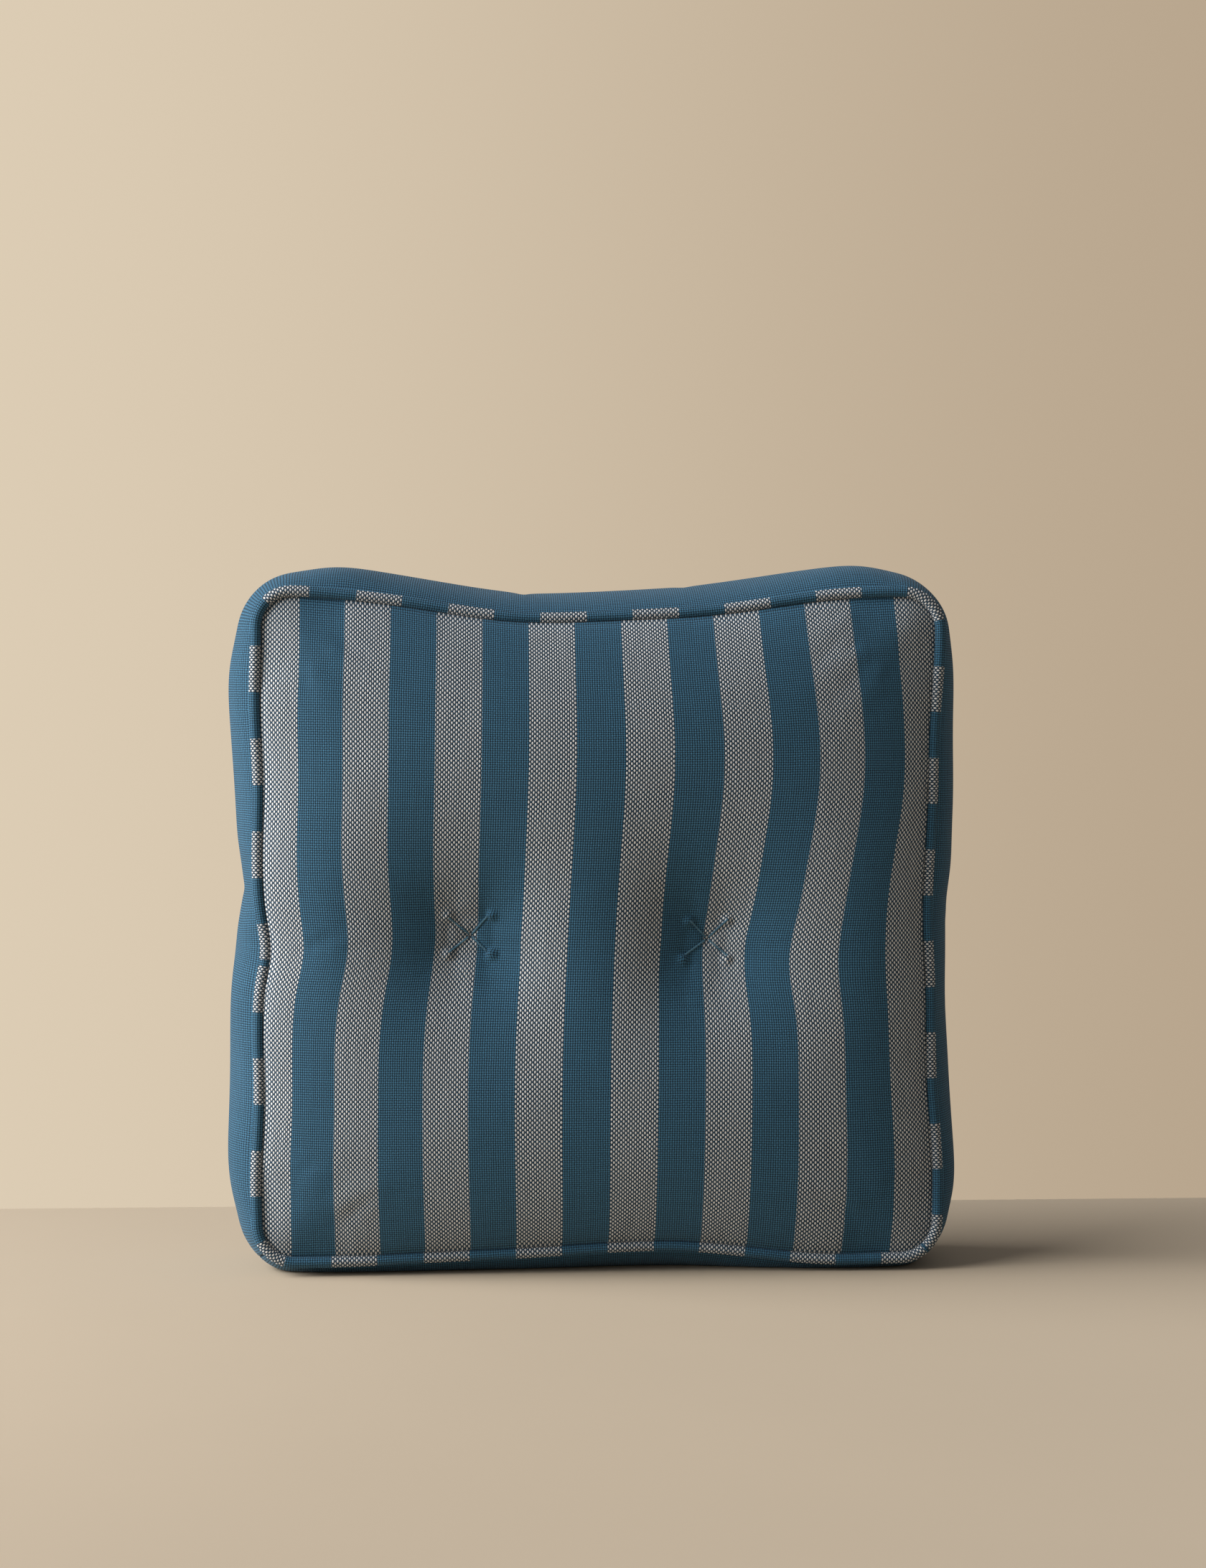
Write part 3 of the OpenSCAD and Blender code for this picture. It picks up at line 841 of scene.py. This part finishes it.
@dataclass(frozen=True)
class Hard:
    """A moulded or metal finish with fine marks."""

    name: str
    colour: Triple
    metallic: float
    roughness: float
    scale: float = 1500.0

    def material(self) -> Material:
        """Builds the material from noise on Object coordinates."""
        made, nodes, shader = new_material(self.name)
        place = nodes.add("ShaderNodeTexCoord").outputs["Object"]
        mapping = nodes.add("ShaderNodeMapping")
        mapping.inputs["Scale"].default_value = (0.2, 1, 1)
        nodes.put(mapping.inputs["Vector"], place)
        marks = nodes.noise(mapping.outputs[0], self.scale, 4.0)
        wear = nodes.noise(place, 220.0, 2.0)
        dark = tuple(0.72 * c for c in self.colour)
        nodes.put(shader.inputs["Base Color"], nodes.tint(nodes.ramp(wear, 0.35, 0.65), dark, self.colour))
        shader.inputs["Metallic"].default_value = self.metallic
        rough = nodes.ramp(marks, 0.3, 0.7, self.roughness, self.roughness + 0.15)
        nodes.put(shader.inputs["Roughness"], rough)
        nodes.bump(shader, marks, 0.15, 0.00005)
        return made


BLUE = (0.029, 0.100, 0.172)
IVORY = (0.515, 0.532, 0.545)


class Finishes:
    """Every material of the cushion, built once."""

    def __init__(self) -> None:
        """Builds the weave group and the materials."""
        weave = plain_weave_group()
        self.striped = Cloth("Striped Cloth", BLUE, IVORY).material(weave)
        self.blue = Cloth("Blue Cloth", BLUE, BLUE, stripe=50.0).material(weave)
        self.welt = Cloth("Welt Cloth", BLUE, IVORY, stripe=0.0408, shift=-0.0215).material(weave)
        self.cotton = Soft("Cotton Cord", (0.78, 0.72, 0.60), (0.55, 0.49, 0.39)).material()
        self.casing = Soft("Casing Cloth", (0.80, 0.77, 0.71), (0.66, 0.63, 0.57), 2200.0).material()
        self.fibre = Soft("Fibre Fill", (0.86, 0.86, 0.84), (0.70, 0.70, 0.68), 260.0, bump=0.002).material()
        self.twine = Soft("Tuft Twine", (0.075, 0.205, 0.300), (0.035, 0.110, 0.170), 1800.0).material()
        self.tape = Soft("Zip Tape", (0.030, 0.085, 0.125), (0.018, 0.055, 0.085), 2600.0).material()
        self.teeth = Hard("Zip Teeth", (0.030, 0.080, 0.115), 0.0, 0.38).material()
        self.metal = Hard("Satin Nickel", (0.72, 0.70, 0.66), 1.0, 0.28).material()


# ---- The pieces ----


@dataclass(frozen=True)
class Press:
    """How a tuft's stitch presses the cloth down: under its legs, at their holes and at its middle."""

    reach: float = 0.034
    face_from: float = 0.04
    leg: Point = (0.0021, 0.0005)
    hole: Point = (0.0028, 0.0012)
    middle: Point = (0.0038, 0.0022)

    def near(self, co: Vector, plan: TuftPlan) -> bool:
        """Whether a point of a face is close to a tuft."""
        gap = math.hypot(co.x - plan.pit[0], co.z - plan.pit[1])
        return gap < self.reach and abs(co.y) > self.face_from

    def depth(self, dx: float, dz: float, plan: TuftPlan) -> float:
        """How deep the cloth is pressed at a place beside the middle of a tuft."""
        pressed = 0.0
        for _, (ex, ez) in plan.legs:
            share = min(max((dx * ex + dz * ez) / (ex * ex + ez * ez), 0), 1)
            pressed += dents(math.hypot(dx - ex * share, dz - ez * share), [(0.0, *self.leg)])
            pressed += dents(math.hypot(dx - ex, dz - ez), [(0.0, *self.hole)])
        return pressed + dents(math.hypot(dx, dz), [(0.0, *self.middle)])


@dataclass
class Cover:
    """The stuffed cover: its panels, its boxing and the two strips beside the zip."""

    outline: Outline
    depths: Depths
    cloth: float = 0.0012
    groove: float = 0.0068
    groove_rise: float = 0.0034
    groove_ends: Point = (0.271, 0.284)
    fold: float = 0.0030
    fold_back: float = 0.0075
    rise_reach: float = 0.016
    closed_gap: float = 0.00015
    press: Press = Press()
    mesh: Mesh | None = None

    def stuff(self) -> None:
        """Cuts, sews and blows up the cover, then presses its foot on the floor."""
        cut = CutCover(self.outline, self.depths)
        self.mesh = cut.build()
        shape = Stuffing(self.outline, self.depths).inflate(self.mesh, cut.depth)
        for vert, place in zip(self.mesh.verts, shape):
            vert.co = place
        self.soften_corners()
        self.refine_tufts()
        for vert in self.mesh.verts:
            vert.co.z = max(vert.co.z, 0.0)
            rise = abs(vert.co.y) - self.depths.seam
            if rise > 0:
                far = (vert.co.x ** 2 + (vert.co.z - self.depths.middle) ** 2) / self.depths.crown_reach ** 2
                rise *= self.depths.crown * (1 - self.depths.rounding * far)
                vert.co.y = math.copysign(min(self.depths.seam + rise, self.depths.limit), vert.co.y)
        bmesh.ops.recalc_face_normals(self.mesh, faces=self.mesh.faces[:])
        self.mesh.normal_update()
        LOG.info("stuffed cover: %d points", len(self.mesh.verts))

    def soften_corners(self, reach: float = 0.085, rounds: int = 18) -> None:
        """Eases the small pleats out of the panels' corners."""
        half_w, half_h = self.outline.width / 2, self.outline.height / 2
        middle = self.outline.middle
        corners = [Vector((x, 0, middle + z)) for x in (-half_w, half_w) for z in (-half_h, half_h)]
        panels = {Patch.FRONT_PANEL.value, Patch.BACK_PANEL.value}
        near = []
        for vert in self.mesh.verts:
            if any(face.material_index not in panels for face in vert.link_faces):
                continue
            flat = Vector((vert.co.x, 0, vert.co.z))
            if min((flat - corner).length for corner in corners) < reach:
                near.append(vert)
        relax(self.mesh, near, rounds)

    def refine_tufts(self) -> None:
        """Gives the cloth finer cells round the tufts, and presses it down under their legs."""
        near = [e for e in self.mesh.edges if any(
            all(self.press.near(v.co, plan) for v in e.verts) for plan in TUFTS)]
        bmesh.ops.subdivide_edges(self.mesh, edges=near, cuts=1, use_grid_fill=True, smooth=0.6)
        for vert in self.mesh.verts:
            for plan in TUFTS:
                if self.press.near(vert.co, plan):
                    dx, dz = vert.co.x - plan.pit[0], vert.co.z - plan.pit[1]
                    vert.co.y -= math.copysign(self.press.depth(dx, dz, plan), vert.co.y)

    def patch(self, *patches: Patch) -> Mesh:
        """A copy of the stuffed cover with only these patches."""
        wanted = {patch.value for patch in patches}
        bm = self.mesh.copy()
        bmesh.ops.delete(bm, geom=[f for f in bm.faces if f.material_index not in wanted], context="FACES")
        for face in bm.faces:
            face.material_index = 0
        return bm

    def dress(self, name: str, bm: Mesh, material: Material) -> Piece:
        """Finishes one cloth piece with its thickness and a smooth surface."""
        piece = link(name, bm)
        thicken(piece, self.cloth)
        subdivide(piece)
        settle(piece, [name], material)
        return piece

    def open_share(self, x: float) -> float:
        """How far the groove is open at a place along the zip, from 0 to 1."""
        start, end = self.groove_ends
        return 1 - smooth((abs(x) - start) / (end - start))

    def zip_strip(self, side: Side) -> Mesh:
        """One strip of the foot, folded up along the zip.

        Args:
            side: The half of the foot that it covers.

        Returns:
            The strip, with its folded edge turned in over the tape.
        """
        bm = self.patch(Patch.ZIP_FRONT if side is Side.FRONT else Patch.ZIP_BACK)
        rim = [v for v in bm.verts if v.is_boundary and abs(v.co.y) < self.groove]
        for vert in bm.verts:
            beside = (self.rise_reach - abs(vert.co.y)) / (self.rise_reach - self.groove)
            vert.co.z += self.groove_rise * (smooth(beside) * self.open_share(vert.co.x))
        for vert in rim:
            gap = self.closed_gap + (self.groove - self.closed_gap) * self.open_share(vert.co.x)
            vert.co.y = side.value * gap
        edges = [e for e in bm.edges if e.is_boundary and all(v in rim for v in e.verts)]
        for rise, back in ((self.fold, 0.0), (0.0, self.fold_back)):
            made = bmesh.ops.extrude_edge_only(bm, edges=edges)
            verts = [g for g in made["geom"] if isinstance(g, bmesh.types.BMVert)]
            edges = [g for g in made["geom"] if isinstance(g, bmesh.types.BMEdge)]
            edges = [e for e in edges if all(v in verts for v in e.verts)]
            bmesh.ops.translate(bm, verts=verts, vec=(0, side.value * back, rise))
        bmesh.ops.recalc_face_normals(bm, faces=bm.faces[:])
        bm.normal_update()
        if sum(f.normal.z for f in bm.faces if abs(f.calc_center_median().y) > 0.03) > 0:
            bmesh.ops.reverse_faces(bm, faces=bm.faces[:])
        return bm

    def build(self, finishes: Finishes) -> dict[Side, Piece]:
        """Makes the five cloth pieces of the cover, and gives its two panels."""
        panels = {}
        for side, patch in ((Side.FRONT, Patch.FRONT_PANEL), (Side.BACK, Patch.BACK_PANEL)):
            bm = self.patch(patch)
            panels[side] = self.dress(f"{side.word}_panel", bm, finishes.striped)
        self.dress("boxing_strip", self.patch(Patch.BOXING), finishes.blue)
        for side in Side:
            self.dress(f"zip_strip_{side.word}", self.zip_strip(side), finishes.blue)
        return panels


@dataclass
class Welt:
    """A welt: a cord wrapped in a strip of the striped cloth, with the strip's leaves behind it."""

    outline: Outline
    depths: Depths
    side: Side
    radius: float = 0.0046
    cord_radius: float = 0.0029
    sides: int = 24
    ridge: float = 0.0011
    ridge_angle: float = 15.0
    ridge_width: float = 11.0
    seam_angle: float = 225.0
    join: float = 0.286
    starts: Triple = (-0.0157, 0.0507, -0.0285)

    def tube(self, radius: float, sides: int, ridge: float) -> Mesh:
        """A closed tube along the seam, with metres along and around it as its UV map.

        Args:
            radius: The tube's radius.
            sides: How many faces it has around.
            ridge: How far the cloth's turned edge stands out on the outer side.

        Returns:
            The tube, with its faces outwards.
        """
        line = self.outline.welt_line()
        out = outward(line)
        count = len(line)
        lengths = lengths_along(line + line[:1])
        foot = self.outline.columns
        joins = [k for k in range(2 * foot + self.outline.rows, count) if line[k].z < self.join]

        def along(k: int, first: int) -> float:
            """The place on the strip, which is joined at the lower right corner and low on the left side."""
            if first < foot:
                return lengths[k] + self.starts[0]
            if first < joins[0]:
                return lengths[k] - lengths[foot] + self.starts[1]
            return lengths[k] - lengths[count] + self.starts[2]

        bm = bmesh.new()
        uv = bm.loops.layers.uv.new(CLOTH_UV)
        places = {vert: (k, round(t * sides)) for vert, (k, t) in strip(bm, count, sides).items()}
        for face in bm.faces:
            first = min(places[vert][0] for vert in face.verts)
            for loop in face.loops:
                k, n = places[loop.vert]
                loop[uv].uv = (along(k, first), n / sides * math.tau * radius)
        forward = Vector((0, self.side.value, 0))
        for vert, (k, n) in places.items():
            angle = math.tau * (n % sides) / sides + math.radians(self.seam_angle)
            wide = radius + dents(math.degrees(angle) % 360, [(self.ridge_angle, self.ridge_width, ridge)])
            middle = line[k % count] + forward * self.depths.seam
            vert.co = middle + out[k % count] * (wide * math.cos(angle)) + forward * (wide * math.sin(angle))
        bmesh.ops.remove_doubles(bm, verts=bm.verts[:], dist=MERGE)
        bmesh.ops.recalc_face_normals(bm, faces=bm.faces[:])
        return bm

    def build(self, finishes: Finishes) -> None:
        """Makes the cover and the cord of the welt."""
        name = f"{self.side.word}_welt"
        cover = link(f"{name}_cover", self.tube(self.radius, self.sides, self.ridge))
        subdivide(cover)
        settle(cover, [f"{name}_cover"], finishes.welt)
        cord = link(f"{name}_cord", self.tube(self.cord_radius, 10, 0.0))
        settle(cord, [f"{name}_cord"], finishes.cotton)


@dataclass
class Insert:
    """The insert inside the cover: a casing in two halves round the loose fibre."""

    cover: Cover
    casing_gap: float = 0.0035
    fill_gap: float = 0.0048
    zip_room: float = 0.0105
    foot_lift: float = 0.0026
    casing_cloth: float = 0.0006
    room_reach: Point = (0.026, 0.008)

    def shrunk(self, gap: float) -> Mesh:
        """The cover's closed surface, moved inwards and up off the zip."""
        bm = self.cover.mesh.copy()
        relax(bm, bm.verts[:], 4)
        bm.normal_update()
        normals = [v.normal.copy() for v in bm.verts]
        reach, fade = self.room_reach
        for vert, normal in zip(bm.verts, normals):
            vert.co -= normal * gap
            room = smooth((reach - abs(vert.co.y)) / fade)
            low = gap - self.casing_gap + self.foot_lift + (self.zip_room - self.foot_lift) * room
            vert.co.z = max(vert.co.z, low)
        return bm

    def half(self, side: Side) -> Mesh:
        """One half of the casing."""
        bm = self.shrunk(self.casing_gap)
        away = [f for f in bm.faces if f.calc_center_median().y * side.value < 0]
        bmesh.ops.delete(bm, geom=away, context="FACES")
        return bm

    def build(self, finishes: Finishes) -> None:
        """Makes the casing's halves and the fill."""
        for side in Side:
            name = f"insert_casing_{side.word}"
            piece = link(name, self.half(side))
            thicken(piece, self.casing_cloth)
            settle(piece, [name], finishes.casing)
        fill = link("fill", self.shrunk(self.fill_gap))
        settle(fill, ["fill"], finishes.fibre)


def twisted(
    bm: Mesh, path: list[Vector], radius: float, strands: int, pitch: float, sides: int = 8
) -> None:
    """Adds a twine of twisted strands along a path, with rounded, closed ends.

    Args:
        bm: The bmesh to add it to.
        path: Points along the twine's middle, evenly spaced.
        radius: The radius of the whole twine.
        strands: How many strands it has.
        pitch: The length of one turn of a strand.
        sides: How many faces a strand has around.
    """
    thick = radius * (0.52 if strands == 2 else 0.48)
    offset = radius - thick
    count = len(path) - 1
    lengths = lengths_along(path)
    for strand in range(strands):
        places = {vert: (k, round(t * sides)) for vert, (k, t) in strip(bm, count, sides).items()}
        for vert, (k, n) in places.items():
            along = (path[min(k + 1, count)] - path[max(k - 1, 0)]).normalized()
            u = along.cross(Vector((0, 1, 0)) if abs(along.y) < 0.9 else Vector((1, 0, 0))).normalized()
            w = along.cross(u)
            turn = math.tau * (lengths[k] / pitch + strand / strands)
            middle = path[k] + (u * math.cos(turn) + w * math.sin(turn)) * offset
            angle = math.tau * (n % sides) / sides
            close = 0.0 if k in (0, count) else 1.0
            vert.co = middle + (u * math.cos(angle) + w * math.sin(angle)) * thick * close
    bmesh.ops.remove_doubles(bm, verts=bm.verts[:], dist=MERGE / 2)
    bmesh.ops.recalc_face_normals(bm, faces=bm.faces[:])


@dataclass
class Tuft:
    """A tuft: a four-legged stitch on each face, and the tie that joins them through the cushion."""

    plan: TuftPlan
    depths: Depths
    leg_radius: float = 0.0010
    leg_turn: float = 0.0055
    leg_reach: float = 1.04
    leg_steps: int = 26
    rise: float = 0.0006
    look_from: float = 0.2
    evened: int = 3
    pit_sink: Point = (0.14, 0.0035)
    hole_sink: Triple = (0.94, 0.10, 0.004)
    tie_radius: float = 0.002
    tie_turn: float = 0.012
    tie_inset: float = 0.003
    tie_steps: int = 90

    def stitch(self, side: Side, cloth: BVHTree) -> Mesh:
        """The four legs of one stitch, which lie on the cloth from the pit out to their holes.

        Args:
            side: The face that the stitch is on.
            cloth: The finished surface of that face.

        Returns:
            The stitch.
        """
        bm = bmesh.new()
        x, z = self.plan.pit
        look = Vector((0, -side.value, 0))
        pit_share, pit_deep = self.pit_sink
        hole_share, hole_fade, hole_deep = self.hole_sink
        for _, (dx, dz) in self.plan.legs:
            shares = [self.leg_reach * n / self.leg_steps for n in range(self.leg_steps + 1)]
            starts = [Vector((x + dx * t, side.value * self.look_from, z + dz * t)) for t in shares]
            found = [abs(cloth.ray_cast(start, look)[0].y) for start in starts]
            points = []
            for n, share in enumerate(shares):
                about = found[max(n - self.evened, 0):n + self.evened + 1]
                sunk = pit_deep * (1 - smooth(share / pit_share))
                sunk += hole_deep * smooth((share - hole_share) / hole_fade)
                level = sum(about) / len(about) + self.rise - sunk
                points.append(Vector((x + dx * share, side.value * level, z + dz * share)))
            twisted(bm, points, self.leg_radius, 2, self.leg_turn)
        return bm

    def tie(self) -> Mesh:
        """The twisted tie, from one pit to the other."""
        bm = bmesh.new()
        x, z = self.plan.pit
        reach = self.depths.pit - self.tie_inset
        steps = self.tie_steps
        path = [Vector((x, -reach + 2 * reach * n / steps, z)) for n in range(steps + 1)]
        twisted(bm, path, self.tie_radius, 3, self.tie_turn)
        return bm

    def build(self, finishes: Finishes, panels: dict[Side, Piece]) -> None:
        """Makes both stitches and the tie."""
        for side in Side:
            name = f"tuft_{self.plan.name}_{side.word}_stitch"
            cloth = BVHTree.FromObject(panels[side], bpy.context.evaluated_depsgraph_get())
            settle(link(name, self.stitch(side, cloth)), [name], finishes.twine)
        name = f"tuft_{self.plan.name}_tie"
        settle(link(name, self.tie()), [name], finishes.twine)


@dataclass(frozen=True)
class Zip:
    """The zip under the cushion, which stays as it was made and only gets its finishes."""

    tapes: tuple[str, ...] = ("zip_tape_front", "zip_tape_back")
    teeth: tuple[str, ...] = ("zip_teeth_front", "zip_teeth_back")
    metal: tuple[str, ...] = ("zip_open_end_stop", "zip_closed_end_stops", "zip_slider", "zip_pull")

    def build(self, finishes: Finishes) -> None:
        """Dresses each node of the zip."""
        looks = {self.tapes: finishes.tape, self.teeth: finishes.teeth, self.metal: finishes.metal}
        for names, material in looks.items():
            for name in names:
                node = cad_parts[name]
                node.data.materials.clear()
                node.data.materials.append(material)
                LOG.info("%s: dressed in %s", name, material.name)


@dataclass(frozen=True)
class Studio:
    """The floor, the light and the camera."""

    floor_size: float = 60.0
    floor_end: float = 0.30
    floor: Triple = (0.545, 0.448, 0.334)
    air: Triple = (0.190, 0.184, 0.180)
    backdrop: Triple = (0.730, 0.618, 0.468)
    # The backdrop's painted shade, on the right, away from the light.
    backdrop_shaded_right: Triple = (0.470, 0.370, 0.262)
    sun_from: Triple = (-0.83, -0.17, 0.53)
    sun_width: float = 55.0
    sun_power: float = 3.9
    lens: float = 67.6
    sensor: float = 36.0
    eye: Triple = (-0.136, -2.66, 0.516)
    turn: float = -3.07
    tilt: float = 1.77
    key_place: Triple = (-1.7, -0.35, 0.9)
    key_size: float = 0.9
    key_power: float = 18.0

    def stand(self) -> None:
        """Lays the floor, which ends a little behind the cushion."""
        bm = bmesh.new()
        bmesh.ops.create_grid(bm, x_segments=1, y_segments=1, size=self.floor_size / 2)
        bmesh.ops.translate(bm, verts=bm.verts[:], vec=(0, self.floor_end - self.floor_size / 2, 0))
        piece = link("floor", bm, smooth_faces=False)
        made, nodes, shader = new_material("Pale Floor")
        cloud = nodes.noise(nodes.add("ShaderNodeTexCoord").outputs["Object"], 3.0, 5.0)
        low = tuple(0.95 * c for c in self.floor)
        nodes.put(shader.inputs["Base Color"], nodes.tint(cloud, low, self.floor))
        shader.inputs["Roughness"].default_value = 0.75
        shader.inputs["Specular IOR Level"].default_value = 0.2
        piece.data.materials.append(made)

    @staticmethod
    def lamp(name: str, kind: str, power: float, look: Vector) -> Piece:
        """Adds a white light that shines along a direction."""
        light = bpy.data.lights.new(name, kind)
        light.energy = power
        piece = place_object(name, light)
        piece.rotation_euler = look.to_track_quat("-Z", "Y").to_euler()
        return piece

    def light(self) -> None:
        """Sets the pale air, the painted backdrop and the soft lights."""
        world = bpy.data.worlds.new("Air")
        world.use_nodes = True
        nodes = Nodes(world.node_tree)
        seen = nodes.add("ShaderNodeLightPath").outputs["Is Camera Ray"]
        look = nodes.add("ShaderNodeSeparateXYZ")
        nodes.put(look.inputs[0], nodes.add("ShaderNodeTexCoord").outputs["Generated"])
        # Painted light and shade: the backdrop that camera rays see is painted lighter on the left and
        # darker to the right, as the fall-off of the light from the left; other rays see the plain air.
        away = nodes.ramp(look.outputs[0], -0.22, 0.32)
        wall = nodes.tint(away, self.backdrop, self.backdrop_shaded_right)
        back = world.node_tree.nodes["Background"]
        nodes.put(back.inputs["Color"], nodes.mix(seen, (*self.air, 1), wall))
        bpy.context.scene.world = world
        sun = self.lamp("window", "SUN", self.sun_power, -Vector(self.sun_from))
        sun.data.angle = math.radians(self.sun_width)
        place = Vector(self.key_place)
        key = self.lamp("key", "AREA", self.key_power, Vector((0, 0, 0.3)) - place)
        key.data.size = self.key_size
        key.location = place

    def camera(self) -> None:
        """Sets the camera a little to the left, level with the upper part of the cushion."""
        lens = bpy.data.cameras.new("camera")
        lens.lens = self.lens
        lens.sensor_width = self.sensor
        piece = place_object("camera", lens)
        piece.location = self.eye
        piece.rotation_euler = (math.radians(90 - self.tilt), 0, math.radians(self.turn))
        bpy.context.scene.camera = piece
        bpy.context.scene.view_settings.view_transform = "Standard"

    def build(self) -> None:
        """Sets up the whole studio."""
        self.stand()
        self.light()
        self.camera()


def main() -> None:
    """Builds and dresses the cushion, piece by piece."""
    logging.basicConfig(level=logging.INFO, format="%(name)s %(message)s")
    Studio().build()
    outline, depths = Outline(), Depths()
    finishes = Finishes()
    cover = Cover(outline, depths)
    cover.stuff()
    panels = cover.build(finishes)
    for side in Side:
        Welt(outline, depths, side).build(finishes)
    Insert(cover).build(finishes)
    for plan in TUFTS:
        Tuft(plan, depths).build(finishes, panels)
    Zip().build(finishes)


if __name__ == "__main__":
    main()
